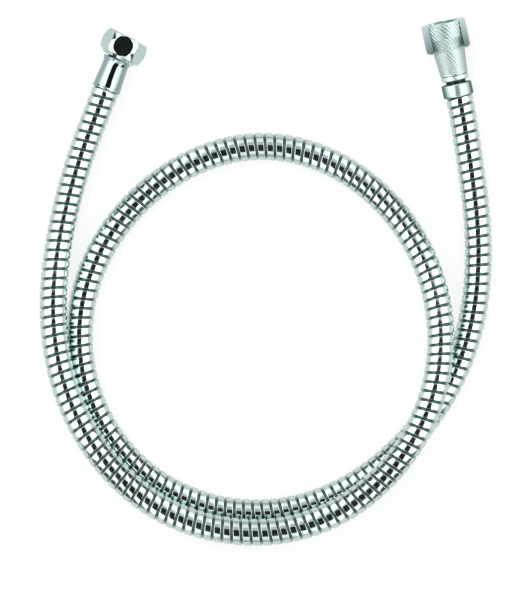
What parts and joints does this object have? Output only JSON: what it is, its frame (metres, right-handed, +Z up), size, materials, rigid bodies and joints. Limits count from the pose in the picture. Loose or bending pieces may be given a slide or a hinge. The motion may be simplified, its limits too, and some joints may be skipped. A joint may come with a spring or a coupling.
{
  "type": "shower hose",
  "caption": "Ribbed silver shower hose lying in a loop, with a short hexagonal union nut on one end and a long bell-shaped union nut on the other.",
  "frame": {"origin": "centre of the box of the laid hose, on the floor it lies on", "axes": "+Z up from the floor, +Y from the loop towards both union nuts, +X to the right in the picture"},
  "size_m": [0.2488, 0.2905, 0.0309],
  "materials": {
    "silver_pvc": "silver foil under clear PVC, glossy",
    "chrome": "polished chrome",
    "satin_chrome": "chrome over a fine knurl",
    "brass": "turned brass",
    "rubber": "matt black rubber"
  },
  "bodies": {
    "hose": {"hose": "silver_pvc", "hex_ferrule": "chrome", "hex_tail": "brass", "hex_washer": "rubber", "cone_ferrule": "chrome", "cone_tail": "brass", "cone_washer": "rubber"},
    "hex_nut": {"hex_nut": "chrome"},
    "cone_nut": {"cone_nut": "satin_chrome"}
  },
  "joints": [
    {"name": "hex_nut_spin", "type": "hinge", "parent": "hose", "child": "hex_nut", "pos_m": [-0.0807, 0.12441, 0.0115], "axis": [0.4772, 0.8788, 0], "continuous": true},
    {"name": "cone_nut_spin", "type": "hinge", "parent": "hose", "child": "cone_nut", "pos_m": [0.10424, 0.11065, 0.00913], "axis": [-0.2155, 0.9721, 0.0922], "continuous": true}
  ]
}
